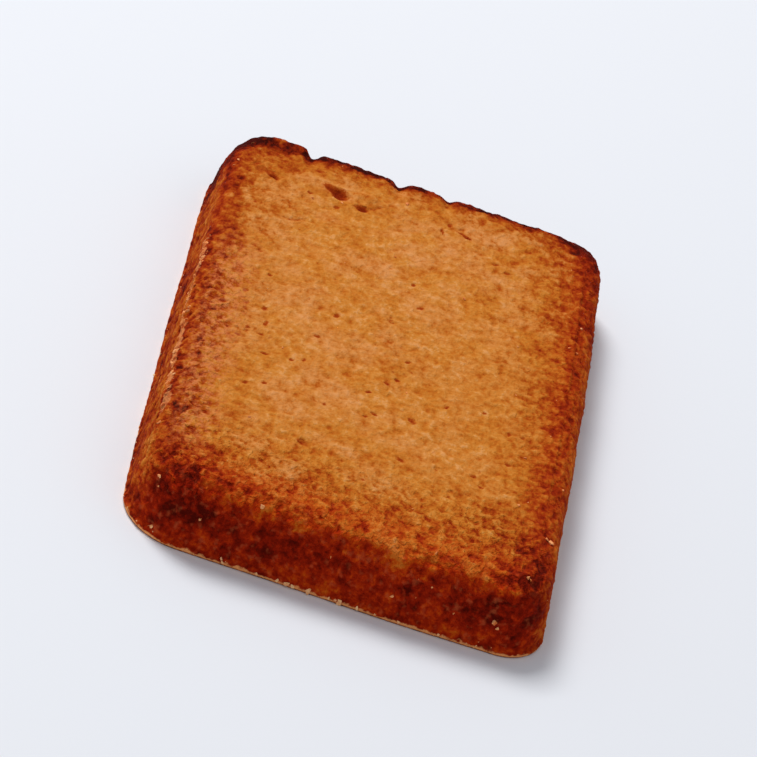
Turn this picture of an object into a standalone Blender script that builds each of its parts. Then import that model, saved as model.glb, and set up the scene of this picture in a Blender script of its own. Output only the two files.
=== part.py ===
"""A milk biscuit, baked as one slab.

It has rounded corners, a rounded shoulder all round the top, sides that spread towards the
tray, and a thin foot where the dough met it. Metres, +Z up. The biscuit lies flat with the
middle of its underside at the origin, its length along Y and its width along X.
"""

import math

import bmesh
import bpy
from mathutils import Vector, noise

MM = 0.001

# Driving sizes: over the foot, before the outline wanders, and up to the top of the dome.
WIDTH = 45.2 * MM
LENGTH = 71.9 * MM
THICKNESS = 7.8 * MM

# Corner radii at the foot. No two corners baked alike: the front left one is the roundest.
FRONT_LEFT_RADIUS = 6.2 * MM
FRONT_RIGHT_RADIUS = 4.7 * MM
BACK_LEFT_RADIUS = 5.4 * MM
BACK_RIGHT_RADIUS = 4.9 * MM

# The side: how much wider the foot is than the shoulder, and the side's slight swell.
SIDE_SPREAD = 0.95 * MM
SIDE_SWELL = 0.12 * MM
SIDE_ROWS = 4

# The shoulder, a quarter of an ellipse between the side and the top. It comes further down
# the front, from the lattice place where v is -FRONT_BEGINS.
SHOULDER_REACH = 2.3 * MM
SHOULDER_DROP = 2.1 * MM
FRONT_SHOULDER_DROP = 3.1 * MM
FRONT_BEGINS = 0.65
SHOULDER_ROWS = 6

# The foot, a thin lip that the dough leaves against the tray.
FOOT_LIP = 0.28 * MM
FOOT_HEIGHT = 0.40 * MM
FOOT_TOP = 0.95 * MM
FOOT_UNDERCUT = 0.12 * MM

# The baked outline: straight sides bow out, and the whole slab wanders a little.
SIDE_BOW = 0.30 * MM
WANDER = 0.30 * MM
WANDER_SPACING = 17.0 * MM
SECOND_LAYER = 50.0 * MM
CORNER_TIGHTENING = 0.5

# The top: a low dome that falls off near the rim, then wide and narrow swells.
DOME = 0.26 * MM
DOME_POWER = 6
WIDE_SWELL = 0.16 * MM
WIDE_SPACING = 11.0 * MM
CRUST_BUMP = 0.11 * MM
CRUST_SPACING = 3.1 * MM

# The back edge broke as it baked: lumps with three nicks between them.
CRAG = 0.36 * MM
CRAG_SPACING = 3.4 * MM
CRAG_START = 28.5 * MM
CRAG_FULL = 33.0 * MM
CRAG_BOTTOM = 3.0 * MM
CRAG_TOP = 5.5 * MM
NICKS_ACROSS = (-12.6 * MM, -2.6 * MM, 3.0 * MM)
NICK_REACH = 1.2 * MM
NICK_DEPTH = 0.55 * MM

# Burst blisters near the back of the top: across, along, reach and depth.
BLISTERS = (
    (-9.3 * MM, 26.7 * MM, 1.6 * MM, 0.42 * MM),
    (-6.9 * MM, 25.7 * MM, 1.4 * MM, 0.34 * MM),
    (-16.5 * MM, 25.9 * MM, 1.4 * MM, 0.30 * MM),
    (5.9 * MM, 25.8 * MM, 1.3 * MM, 0.20 * MM),
)

# Mesh: cells across and along the top. The rows down the side use the same count.
CELLS_ACROSS = 38
CELLS_ALONG = 60

# Where in the noise field this biscuit is cut from.
FIELD = Vector((13.5, 3.0, 0.8))

CRUST_COLOUR = (0.560, 0.215, 0.055, 1.0)
CRUST_ROUGHNESS = 0.8


def clear_scene():
    """Removes the objects of the scene that the script starts in."""
    for item in list(bpy.data.objects):
        bpy.data.objects.remove(item, do_unlink=True)


def smooth_step(low, high, value):
    """0 up to low, 1 from high on, and a soft change between."""
    share = min(max((value - low) / (high - low), 0.0), 1.0)
    return share * share * (3.0 - 2.0 * share)


def field_at(x, y, z, spacing):
    """The noise field at a point, with its bumps about `spacing` apart."""
    return FIELD + Vector((x, y, z)) / spacing


def foot_radius(u, v):
    """Radius at the foot of the corner on the side of (u, v)."""
    if v < 0.0:
        return FRONT_LEFT_RADIUS if u < 0.0 else FRONT_RIGHT_RADIUS
    return BACK_LEFT_RADIUS if u < 0.0 else BACK_RIGHT_RADIUS


def plan_point(u, v, inset):
    """The plan position of (u, v), each from -1 to 1, on a rounded rectangle.

    The rectangle lies `inset` inside the foot's outline. A square corner of the (u, v)
    lattice is squeezed onto a quarter disc, so the lattice fills the round corner evenly.
    """
    half_width = WIDTH / 2 - inset
    half_length = LENGTH / 2 - inset
    radius = foot_radius(u, v) - CORNER_TIGHTENING * inset
    flat_width = half_width - radius
    flat_length = half_length - radius
    x = half_width * abs(u)
    y = half_length * abs(v)
    past_x = (x - flat_width) / radius
    past_y = (y - flat_length) / radius
    if past_x > 0.0 and past_y > 0.0:
        x = flat_width + radius * past_x * math.sqrt(1.0 - past_y**2 / 2)
        y = flat_length + radius * past_y * math.sqrt(1.0 - past_x**2 / 2)
    return math.copysign(x, u), math.copysign(y, v)


def baked_outline(x, y):
    """Moves a plan position as baking did: the sides bow, and the slab wanders."""
    across = 2.0 * x / WIDTH
    along = 2.0 * y / LENGTH
    bowed_x = x - SIDE_BOW * across * along**2
    bowed_y = y - SIDE_BOW * along * across**2
    drift_x = WANDER * noise.noise(field_at(x, y, 0.0, WANDER_SPACING))
    drift_y = WANDER * noise.noise(field_at(x, y, SECOND_LAYER, WANDER_SPACING))
    return bowed_x + drift_x, bowed_y + drift_y


def dome_height(x, y):
    """Height of the top's own form over its rim."""
    across = 2.0 * x / WIDTH
    along = 2.0 * y / LENGTH
    dome = DOME * (1.0 - across**DOME_POWER) * (1.0 - along**DOME_POWER)
    swell = WIDE_SWELL * noise.noise(field_at(x, y, 0.0, WIDE_SPACING))
    return dome + swell


def edge_profile(v):
    """Rows from the rim of the top down to the underside at a place v of the lattice.

    Each row is an (inset, height) pair.
    """
    front_share = smooth_step(FRONT_BEGINS, 1.0, -v)
    drop = SHOULDER_DROP + (FRONT_SHOULDER_DROP - SHOULDER_DROP) * front_share
    side_top = THICKNESS - DOME - drop
    rows = []
    for row in range(SHOULDER_ROWS + 1):
        turn = math.radians(90.0) * row / SHOULDER_ROWS
        inset = SIDE_SPREAD + SHOULDER_REACH * (1.0 - math.sin(turn))
        height = side_top + drop * math.cos(turn)
        rows.append((inset, height))
    for row in range(1, SIDE_ROWS + 1):
        share = row / SIDE_ROWS
        spread = SIDE_SPREAD + (FOOT_LIP - SIDE_SPREAD) * share
        inset = spread - SIDE_SWELL * math.sin(math.pi * share)
        height = side_top + (FOOT_TOP - side_top) * share
        rows.append((inset, height))
    rows.append((0.0, FOOT_HEIGHT))
    rows.append((FOOT_UNDERCUT, 0.0))
    return rows


def blister_dent(x, y):
    """Depth of the burst blisters at a place on the top."""
    depth = 0.0
    for across, along, reach, deepest in BLISTERS:
        away = math.hypot(x - across, y - along)
        depth += deepest * (1.0 - smooth_step(0.3 * reach, 1.2 * reach, away))
    return depth


def crag_height(point):
    """Lumps of the broken back edge, less its nicks."""
    share = smooth_step(CRAG_START, CRAG_FULL, point.y)
    share *= smooth_step(CRAG_BOTTOM, CRAG_TOP, point.z)
    if share == 0.0:
        return 0.0
    lumps = CRAG * noise.noise(field_at(*point, CRAG_SPACING))
    nicks = 0.0
    for across in NICKS_ACROSS:
        away = abs(point.x - across)
        nicks += NICK_DEPTH * (1.0 - smooth_step(0.0, NICK_REACH, away))
    return share * (lumps - nicks)


def crust_relief(point):
    """How far the crust stands out from the plain form at a point."""
    bump = CRUST_BUMP * noise.noise(field_at(*point, CRUST_SPACING))
    bump += CRUST_BUMP / 2 * noise.noise(field_at(*point, CRUST_SPACING / 2))
    return bump + crag_height(point)


def lay_top(slab):
    """The top as one lattice of square cells, shaped to the rim."""
    rim_inset = SIDE_SPREAD + SHOULDER_REACH
    rim_height = THICKNESS - DOME
    bmesh.ops.create_grid(slab, x_segments=CELLS_ACROSS, y_segments=CELLS_ALONG, size=1.0)
    lattice = {}
    for vert in slab.verts:
        u, v = vert.co.x, vert.co.y
        lattice[vert] = (u, v)
        x, y = plan_point(u, v, rim_inset)
        height = rim_height + dome_height(x, y)
        vert.co = (*baked_outline(x, y), height)
    return lattice


def vert_above(vert, row_above):
    """The vert of the row above that this one was extruded from."""
    neighbours = [edge.other_vert(vert) for edge in vert.link_edges]
    return next(other for other in neighbours if other in row_above)


def draw_down_side(slab, lattice):
    """Extrudes the rim outwards and down, one row at a time, and closes the underside."""
    rim = [edge for edge in slab.edges if edge.is_boundary]
    for row in range(1, len(edge_profile(0.0))):
        row_above = {vert for edge in rim for vert in edge.verts}
        made = bmesh.ops.extrude_edge_only(slab, edges=rim)["geom"]
        new_edges = [item for item in made if isinstance(item, bmesh.types.BMEdge)]
        rim = [edge for edge in new_edges if edge.is_boundary]
        for vert in {vert for edge in rim for vert in edge.verts}:
            u, v = lattice[vert_above(vert, row_above)]
            lattice[vert] = (u, v)
            inset, height = edge_profile(v)[row]
            x, y = plan_point(u, v, inset)
            vert.co = (*baked_outline(x, y), height)
    bmesh.ops.contextual_create(slab, geom=rim)


def bake_crust(slab):
    """Raises the crust's relief along the surface, but leaves the underside flat."""
    bmesh.ops.recalc_face_normals(slab, faces=slab.faces)
    slab.normal_update()
    moves = {}
    for vert in slab.verts:
        clear_of_tray = smooth_step(0.0, FOOT_TOP, vert.co.z)
        rise = crust_relief(vert.co)
        if vert.normal.z > 0.9:
            rise -= blister_dent(vert.co.x, vert.co.y)
        moves[vert] = vert.normal * rise * clear_of_tray
    for vert, move in moves.items():
        vert.co += move


def centre_on_origin(slab):
    """Puts the middle of the box's underside at the origin."""
    across = [vert.co.x for vert in slab.verts]
    along = [vert.co.y for vert in slab.verts]
    middle = Vector(((min(across) + max(across)) / 2, (min(along) + max(along)) / 2, 0.0))
    bmesh.ops.translate(slab, verts=slab.verts, vec=-middle)


def crust_material():
    """Golden-tan crust, matte."""
    material = bpy.data.materials.new("baked_crust")
    material.use_nodes = True
    shader = material.node_tree.nodes["Principled BSDF"]
    shader.inputs["Base Color"].default_value = CRUST_COLOUR
    shader.inputs["Roughness"].default_value = CRUST_ROUGHNESS
    shader.inputs["Metallic"].default_value = 0.0
    material.diffuse_color = CRUST_COLOUR
    return material


def make_biscuit():
    """The whole biscuit, one closed solid."""
    slab = bmesh.new()
    lattice = lay_top(slab)
    draw_down_side(slab, lattice)
    bake_crust(slab)
    centre_on_origin(slab)
    mesh = bpy.data.meshes.new("biscuit")
    slab.to_mesh(mesh)
    slab.free()
    mesh.shade_smooth()
    mesh.set_sharp_from_angle(angle=math.radians(50.0))
    mesh.materials.append(crust_material())
    biscuit = bpy.data.objects.new("biscuit", mesh)
    bpy.context.scene.collection.objects.link(biscuit)
    return biscuit


clear_scene()
make_biscuit()
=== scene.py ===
"""The looks of a milk biscuit: its baked crust, the crumbs that cling to it, and a pale studio floor."""

import math
import random

import bmesh
import bpy
from mathutils import Matrix, Vector, kdtree, noise


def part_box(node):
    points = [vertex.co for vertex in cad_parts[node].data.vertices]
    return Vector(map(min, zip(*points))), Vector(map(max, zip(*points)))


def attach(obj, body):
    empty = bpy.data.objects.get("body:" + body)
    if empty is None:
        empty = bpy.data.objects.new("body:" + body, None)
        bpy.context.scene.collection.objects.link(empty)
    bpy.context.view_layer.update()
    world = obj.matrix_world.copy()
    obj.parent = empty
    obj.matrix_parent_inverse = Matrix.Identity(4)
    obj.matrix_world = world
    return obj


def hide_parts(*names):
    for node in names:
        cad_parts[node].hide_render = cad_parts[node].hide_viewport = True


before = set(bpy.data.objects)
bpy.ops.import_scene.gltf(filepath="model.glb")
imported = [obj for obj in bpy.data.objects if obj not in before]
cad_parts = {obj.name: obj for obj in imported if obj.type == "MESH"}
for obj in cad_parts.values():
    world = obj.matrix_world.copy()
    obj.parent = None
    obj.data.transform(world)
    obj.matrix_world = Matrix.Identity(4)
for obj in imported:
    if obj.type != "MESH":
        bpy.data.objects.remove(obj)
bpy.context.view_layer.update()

# ------------------------------------------------------------------------------------------
# The biscuit. One slab of sweet, milky short dough, cut to a rounded rectangle and baked
# lying flat on a tray. It browns from its edges in, its front edge most, and the air cells
# in the dough open as fine pits over the top.
# ------------------------------------------------------------------------------------------

MM = 0.001

# The slab's own sizes, as the solid has them: over the foot, and up to the top.
WIDTH = 45.2 * MM
LENGTH = 71.9 * MM
THICKNESS = 7.8 * MM
FRONT_LEFT_RADIUS = 6.2 * MM
FRONT_RIGHT_RADIUS = 4.7 * MM
BACK_LEFT_RADIUS = 5.4 * MM
BACK_RIGHT_RADIUS = 4.9 * MM
CORNER_TIGHTENING = 0.5
SIDE_SPREAD = 0.95 * MM
SIDE_SWELL = 0.12 * MM
SHOULDER_REACH = 2.3 * MM
SHOULDER_DROP = 2.1 * MM
FRONT_SHOULDER_DROP = 3.1 * MM
FRONT_BEGINS = 0.65
FOOT_LIP = 0.28 * MM
FOOT_HEIGHT = 0.40 * MM
FOOT_TOP = 0.95 * MM
FOOT_UNDERCUT = 0.12 * MM

# How baking moved it: bowed sides, a wandering outline, a low dome and wide swells.
SIDE_BOW = 0.30 * MM
WANDER = 0.30 * MM
WANDER_SPACING = 17.0 * MM
DOME = 0.26 * MM
DOME_POWER = 6
WIDE_SWELL = 0.16 * MM
WIDE_SPACING = 11.0 * MM
# Where in the noise the slab lies, and how far from there a second layer is taken.
FIELD = Vector((13.5, 3.0, 0.8))
SECOND_LAYER = 50.0 * MM

# Mesh: cells of about a quarter of a millimetre, and twice that on the underside.
CELLS_ACROSS = 168
CELLS_ALONG = 280
SHOULDER_ROWS = 18
SIDE_ROWS = 14
FOOT_ROWS = 4


def smooth_step(low, high, value):
    """0 up to low, 1 from high on, and a soft change between."""
    share = min(max((value - low) / (high - low), 0.0), 1.0)
    return share * share * (3.0 - 2.0 * share)


def between(start, full, fading, end, value):
    """0 up to start, 1 from full to fading, 0 again from end on, and soft changes between."""
    return smooth_step(start, full, value) * (1.0 - smooth_step(fading, end, value))


def part_way(ends, share):
    """The value that lies a share of the way from the first end to the second."""
    return ends[0] + (ends[1] - ends[0]) * share


def field_noise(x, y, z, spacing):
    """Noise from -1 to 1, with its bumps about `spacing` apart."""
    return noise.noise(FIELD + Vector((x, y, z)) / spacing)


def foot_radius(u, v):
    """Radius at the foot of the corner on the side of (u, v)."""
    if v < 0.0:
        return FRONT_LEFT_RADIUS if u < 0.0 else FRONT_RIGHT_RADIUS
    return BACK_LEFT_RADIUS if u < 0.0 else BACK_RIGHT_RADIUS


def plan_point(u, v, inset):
    """The plan position of (u, v), each from -1 to 1, `inset` inside the foot's outline."""
    half_width = WIDTH / 2 - inset
    half_length = LENGTH / 2 - inset
    radius = foot_radius(u, v) - CORNER_TIGHTENING * inset
    flat_width = half_width - radius
    flat_length = half_length - radius
    x = half_width * abs(u)
    y = half_length * abs(v)
    past_x = (x - flat_width) / radius
    past_y = (y - flat_length) / radius
    if past_x > 0.0 and past_y > 0.0:
        x = flat_width + radius * past_x * math.sqrt(1.0 - past_y**2 / 2)
        y = flat_length + radius * past_y * math.sqrt(1.0 - past_x**2 / 2)
    return math.copysign(x, u), math.copysign(y, v)


def baked_outline(x, y):
    """Moves a plan position as baking did: the sides bow, and the slab wanders."""
    across = 2.0 * x / WIDTH
    along = 2.0 * y / LENGTH
    bowed_x = x - SIDE_BOW * across * along**2
    bowed_y = y - SIDE_BOW * along * across**2
    drift_x = WANDER * field_noise(x, y, 0.0, WANDER_SPACING)
    drift_y = WANDER * field_noise(x, y, SECOND_LAYER, WANDER_SPACING)
    return bowed_x + drift_x, bowed_y + drift_y


def dome_height(x, y):
    """Height of the top's own form over its rim."""
    across = 2.0 * x / WIDTH
    along = 2.0 * y / LENGTH
    dome = DOME * (1.0 - across**DOME_POWER) * (1.0 - along**DOME_POWER)
    return dome + WIDE_SWELL * field_noise(x, y, 0.0, WIDE_SPACING)


def edge_profile(v):
    """Rows from the rim of the top down to the foot at a place v, as (inset, height) pairs."""
    front_share = smooth_step(FRONT_BEGINS, 1.0, -v)
    drop = part_way((SHOULDER_DROP, FRONT_SHOULDER_DROP), front_share)
    side_top = THICKNESS - DOME - drop
    rows = []
    for row in range(1, SHOULDER_ROWS + 1):
        turn = math.radians(90.0) * row / SHOULDER_ROWS
        inset = SIDE_SPREAD + SHOULDER_REACH * (1.0 - math.sin(turn))
        rows.append((inset, side_top + drop * math.cos(turn)))
    for row in range(1, SIDE_ROWS + 1):
        share = row / SIDE_ROWS
        inset = part_way((SIDE_SPREAD, FOOT_LIP), share) - SIDE_SWELL * math.sin(math.pi * share)
        rows.append((inset, part_way((side_top, FOOT_TOP), share)))
    for row in range(1, FOOT_ROWS + 1):
        share = row / FOOT_ROWS
        inset = FOOT_LIP * (1.0 - math.sin(share * math.pi / 2))
        rows.append((inset, part_way((FOOT_TOP, FOOT_HEIGHT), share)))
    rows.append((FOOT_UNDERCUT / 3, FOOT_HEIGHT / 2))
    return rows


def lattice_ring(cells_across, cells_along):
    """The places round the edge of a lattice, in order, each as (column, row)."""
    front = [(column, 0) for column in range(cells_across)]
    right = [(cells_across, row) for row in range(cells_along)]
    back = [(cells_across - column, cells_along) for column in range(cells_across)]
    left = [(0, cells_along - row) for row in range(cells_along)]
    return front + right + back + left


def plain_slab():
    """The smooth slab as points and faces: the top, rows down the side, and the underside."""
    points, faces = [], []

    def add_point(u, v, inset, height):
        points.append((*baked_outline(*plan_point(u, v, inset)), height))
        return len(points) - 1

    def add_lattice(cells_across, cells_along, inset, height, facing_up):
        numbers = []
        for row in range(cells_along + 1):
            v = 2.0 * row / cells_along - 1.0
            numbers.append([])
            for column in range(cells_across + 1):
                u = 2.0 * column / cells_across - 1.0
                lift = dome_height(*plan_point(u, v, inset)) if facing_up else 0.0
                numbers[row].append(add_point(u, v, inset, height + lift))
        for row in range(cells_along):
            for column in range(cells_across):
                near, far = numbers[row], numbers[row + 1]
                face = (near[column], near[column + 1], far[column + 1], far[column])
                faces.append(face if facing_up else face[::-1])
        return [numbers[row][column] for column, row in lattice_ring(cells_across, cells_along)]

    upper = add_lattice(
        CELLS_ACROSS, CELLS_ALONG, SIDE_SPREAD + SHOULDER_REACH, THICKNESS - DOME, facing_up=True
    )
    rim = []
    for column, row in lattice_ring(CELLS_ACROSS, CELLS_ALONG):
        u = 2.0 * column / CELLS_ACROSS - 1.0
        v = 2.0 * row / CELLS_ALONG - 1.0
        rim.append((u, v, edge_profile(v)))
    for row in range(len(edge_profile(0.0))):
        lower = [add_point(u, v, *profile[row]) for u, v, profile in rim]
        for here, after in zip(range(len(upper)), [*range(1, len(upper)), 0]):
            faces.append((upper[here], lower[here], lower[after], upper[after]))
        upper = lower
    lower = add_lattice(CELLS_ACROSS // 2, CELLS_ALONG // 2, FOOT_UNDERCUT, 0.0, facing_up=False)
    for here in range(len(lower)):
        after = (here + 1) % len(lower)
        next_upper = upper[(2 * here + 2) % len(upper)]
        faces.append((upper[2 * here], lower[here], lower[after], next_upper, upper[2 * here + 1]))
    return points, faces


# Relief of the crust. Wide bumps first, then granules with creases between them, ripples,
# crumbled ridges and a grain, each with its share where the crust is smooth and where coarse.
CRUST_BUMP = 0.11 * MM
CRUST_SPACING = 3.1 * MM
WARP = 0.55 * MM
WARP_SPACING = 1.4 * MM
GRANULE = 0.05 * MM
GRANULE_SPACING = 0.85 * MM
CREASE = 0.05 * MM
CREASE_WIDTH = 0.30
RIPPLE = 0.10 * MM
RIPPLE_SPACING = 1.7 * MM
RIPPLE_CREST = 0.50
RIDGE = 0.12 * MM
RIDGE_SPACING = 1.05 * MM
RIDGE_CREST = 0.45
GRAIN = 0.07 * MM
GRAIN_SPACING = 0.60 * MM
RIDGE_SHARE = (0.38, 1.30)
FINE_SHARE = (0.60, 1.25)
GRAIN_SHARE = (0.60, 1.45)


def crested(x, y, z, spacing, crest):
    """Noise folded into sharp crests that stand `crest` high."""
    return crest - 2.0 * abs(field_noise(x, y, z, spacing))


def crumbly(place, coarse):
    """Fine relief of the crust at a place, high on its grains and low in its creases."""
    x, y, z = place
    warp = Vector((
        field_noise(x, y, z, WARP_SPACING),
        field_noise(y, z, x, WARP_SPACING),
        field_noise(z, x, y, WARP_SPACING),
    ))
    bent = place + warp * WARP
    distances, _ = noise.voronoi(FIELD + bent / GRANULE_SPACING)
    crease = 1.0 - smooth_step(0.0, CREASE_WIDTH, distances[1] - distances[0])
    ripple = crested(x, y, z + SECOND_LAYER, RIPPLE_SPACING, RIPPLE_CREST)
    ridge = crested(bent.y, bent.z + SECOND_LAYER, bent.x, RIDGE_SPACING, RIDGE_CREST)
    granules = GRANULE * (0.5 - distances[0]) - CREASE * crease + RIPPLE * ripple
    fine = granules * part_way(FINE_SHARE, coarse)
    fine += GRAIN * field_noise(x, y, z, GRAIN_SPACING) * part_way(GRAIN_SHARE, coarse)
    return fine + RIDGE * ridge * part_way(RIDGE_SHARE, coarse)


# How coarse the crust is, from 0 for the open top to 1: at distances in from each edge.
FRONT_COARSE = ((3.0, 1.00), (7.0, 0.85), (10.0, 0.55), (14.0, 0.20), (19.0, 0.0))
LEFT_COARSE = ((3.0, 0.75), (4.5, 0.54), (6.5, 0.22), (9.0, 0.0))
RIGHT_COARSE = ((3.0, 0.40), (5.0, 0.30), (9.0, 0.10), (12.0, 0.0))
BACK_COARSE = ((3.0, 0.30), (4.5, 0.12), (6.5, 0.0))
SIDE_COARSE = 0.55
SIDE_TO_TOP = (3.5 * MM, 6.8 * MM)
# The left edge is less coarse toward the back: its share there, and how far on it falls to it.
BACK_LEFT_COARSE = 0.30
BACK_LEFT_FADE = 15.0 * MM
# Spots that broke up more than their surroundings: across, along and reach in millimetres,
# and how much coarser they are. Each is even over the inner part of its reach.
ROUGH_SPOTS = ((-18.6, -32.6, 5.5, 0.60), (-19.5, -23.0, 6.0, 0.25), (15.0, -26.0, 8.0, 0.25))
ROUGH_MIDDLE = 0.3


def along_table(table, value):
    """Reads a value off a table of (place in millimetres, value) pairs, in order of place."""
    place = value / MM
    if place <= table[0][0]:
        return table[0][1]
    for (low, first), (high, second) in zip(table, table[1:]):
        if place < high:
            return first + (second - first) * (place - low) / (high - low)
    return table[-1][1]


def crust_coarseness(x, y, z):
    """How coarse the crust is at a place."""
    from_left = along_table(LEFT_COARSE, WIDTH / 2 + x)
    from_left *= part_way((1.0, BACK_LEFT_COARSE), smooth_step(0.0, BACK_LEFT_FADE, y))
    coarse = max(
        along_table(FRONT_COARSE, LENGTH / 2 + y),
        from_left,
        along_table(RIGHT_COARSE, WIDTH / 2 - x),
        along_table(BACK_COARSE, LENGTH / 2 - y),
    )
    for across, along, reach, more in ROUGH_SPOTS:
        away = math.hypot(x - across * MM, y - along * MM) / (reach * MM)
        coarse += more * (1.0 - smooth_step(ROUGH_MIDDLE, 1.0, away))
    return part_way((SIDE_COARSE, coarse), smooth_step(*SIDE_TO_TOP, z))


# The back edge broke as it baked: lumps with three nicks between them, and a low ledge that
# stands out at its left end. The crags come in between two places along the slab, and between
# two heights.
CRAG = 0.36 * MM
CRAG_SPACING = 3.4 * MM
FINE_CRAG = 0.07 * MM
FINE_CRAG_SPACING = 1.1 * MM
CRAG_ALONG = (28.5 * MM, 33.0 * MM)
CRAG_UP = (3.0 * MM, 5.5 * MM)
NICKS_ACROSS = (-12.6 * MM, -2.6 * MM, 3.0 * MM)
NICK_REACH = 1.2 * MM
NICK_DEPTH = 0.55 * MM
LEDGE = 0.42 * MM
LEDGE_ACROSS = (-20.3 * MM, -16.0 * MM, -13.6 * MM, -12.9 * MM)
LEDGE_ALONG = (32.0 * MM, 33.0 * MM)

# Hollows of the top that can be told apart: burst blisters, creases and slits, each as across,
# along, reach and depth in millimetres, then the way it is stretched in degrees and how much.
# Below 0, the depth is a bulge beside a blister. None shows beyond its span, in reaches.
BLISTERS = (
    (-8.9, 26.3, 1.00, 0.44, -14, 1.35),
    (-6.2, 25.1, 0.50, 0.32, 6, 1.9),
    (-5.9, 27.5, 0.95, -0.24, 0, 1.7),
    (-4.6, 26.2, 0.26, 0.10, 40, 4.5),
    (-16.8, 26.1, 0.75, 0.10, -9, 1.8),
    (-16.2, 25.6, 0.42, 0.24, -30, 1.5),
    (5.7, 26.3, 0.28, 0.14, -27, 3.0),
    (3.1, 25.7, 0.22, 0.12, -64, 4.0),
    (11.1, 31.5, 0.30, 0.13, -36, 3.0),
    (14.9, 31.1, 0.34, 0.13, -20, 3.0),
    (-0.2, 5.1, 0.17, 0.09, -50, 4.0),
    (-13.0, 18.7, 0.40, 0.08, 24, 5.0),
    (-14.7, 31.4, 0.30, 0.16, 8, 8.5),
)
BLISTER_SPAN = 2.5
BLISTER_WARP = 0.46 * MM
BLISTER_WARP_SPACING = 1.2 * MM
# Shares of the way in, from below 0 outside a blister's edge to 1 at its middle: where its
# wall falls, and where the raised rim round it begins, stands highest and ends.
BLISTER_WALL = (-0.12, 0.6)
BLISTER_RIM = 0.08 * MM
BLISTER_RIM_SHARES = (-0.9, -0.3, -0.3, 0.0)
# How dark a blister is at its edge, how much darker at its middle, how much paler toward its
# # front right, and its darkest. This is browned crust with painted shade of the hollow. Shallow
# # ones stay pale.
BLISTER_DARK = 0.50
BLISTER_DARKENING = 0.85
# A painted highlight on the front right wall of each blister, which faces the lamp, and painted shade toward
# its back left.
BLISTER_PAINTED_LIGHT = 0.20
BLISTER_DARKEST = 0.98
BLISTER_DARK_DEPTH = 0.16 * MM
# Pits that can be told apart: across, along and reach in millimetres.
MARKED_PITS = (
    (-6.3, 2.9, 0.28), (2.2, 9.5, 0.26), (1.0, 13.6, 0.22), (2.1, -1.2, 0.22), (0.4, -6.5, 0.28),
    (1.4, -5.2, 0.22), (-1.3, -9.1, 0.20), (-1.1, -13.6, 0.26), (-0.2, -12.7, 0.22), (3.7, -11.7, 0.32),
    (-5.5, -13.9, 0.22), (-12.0, -13.5, 0.26), (-9.8, -7.8, 0.22), (-7.8, -2.0, 0.24), (-13.3, -2.8, 0.24),
    (-13.8, -0.1, 0.28), (7.0, -7.1, 0.22), (-14.1, 6.4, 0.22), (-12.7, -8.3, 0.20), (3.3, -19.2, 0.28),
    (14.0, -8.2, 0.24), (15.5, -8.1, 0.20), (14.4, -13.7, 0.30), (14.8, -27.8, 0.30), (15.0, -24.9, 0.22),
    (11.0, -5.9, 0.20), (12.0, -19.2, 0.22), (-6.9, -21.7, 0.36), (7.2, -30.5, 0.22), (-16.1, 29.9, 0.22),
    (-18.4, 27.3, 0.28), (-11.6, 29.7, 0.28), (-12.1, 24.8, 0.24), (-17.6, 19.6, 0.24), (-8.9, 23.8, 0.30),
    (3.6, 27.8, 0.26), (9.3, 22.9, 0.22), (10.8, 22.0, 0.24), (13.1, 16.1, 0.24), (-16.2, 2.1, 0.24),
    (-15.9, -6.5, 0.22), (-19.2, -17.3, 0.26), (12.8, 27.7, 0.22), (-20.9, 8.2, 0.28), (-20.8, 12.8, 0.28),
    (-15.8, 0.1, 0.24), (-18.1, -5.3, 0.26), (-15.0, -4.5, 0.24), (-13.5, -5.1, 0.20), (-13.9, -14.6, 0.24),
    (-8.6, -7.1, 0.20), (11.1, -17.8, 0.22), (17.2, -23.0, 0.22), (12.4, -25.5, 0.22),
)
MARKED_PIT_DEPTH = 0.12 * MM
# The fine pits bring them all to this number. They lie closest together toward the left, right
# and front edges, and on the open top only a share of them is kept. The crowding grows from the
# first distance from the middle to the second.
ALL_PITS = 1500
FINE_PIT_REACH = (0.12 * MM, 0.24 * MM)
FINE_PIT_DEPTH = (0.03 * MM, 0.09 * MM)
FINE_PIT_MARGIN = 1.5 * MM
OPEN_PIT_SHARE = 0.4
CROWDED_ACROSS = (12.0 * MM, 20.0 * MM)
CROWDED_ALONG = (12.0 * MM, 24.0 * MM)
PIT_STRETCH = 2.2
MARKED_PIT_STRETCH = 0.8 * PIT_STRETCH
PIT_WALL = (-0.6, 0.6)
# How dark the pits are painted, browned crust and painted shade of the hollow: at the edge, more toward the
# middle, and more with depth.
PIT_DARK = 0.56
PIT_DARKENING = 0.38
PIT_DARK_DEPTH = (0.3 * MARKED_PIT_DEPTH, MARKED_PIT_DEPTH)
PIT_SEED = 11


def hollow_share(x, y, hollow):
    """How far inside a hollow a place is: 1 at its middle, 0 at its edge, then less."""
    hollow_x, hollow_y, reach, _, way, stretch = hollow
    along = (x - hollow_x) * math.cos(way) + (y - hollow_y) * math.sin(way)
    across = (y - hollow_y) * math.cos(way) - (x - hollow_x) * math.sin(way)
    return 1.0 - math.hypot(along / stretch, across) / reach


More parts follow.
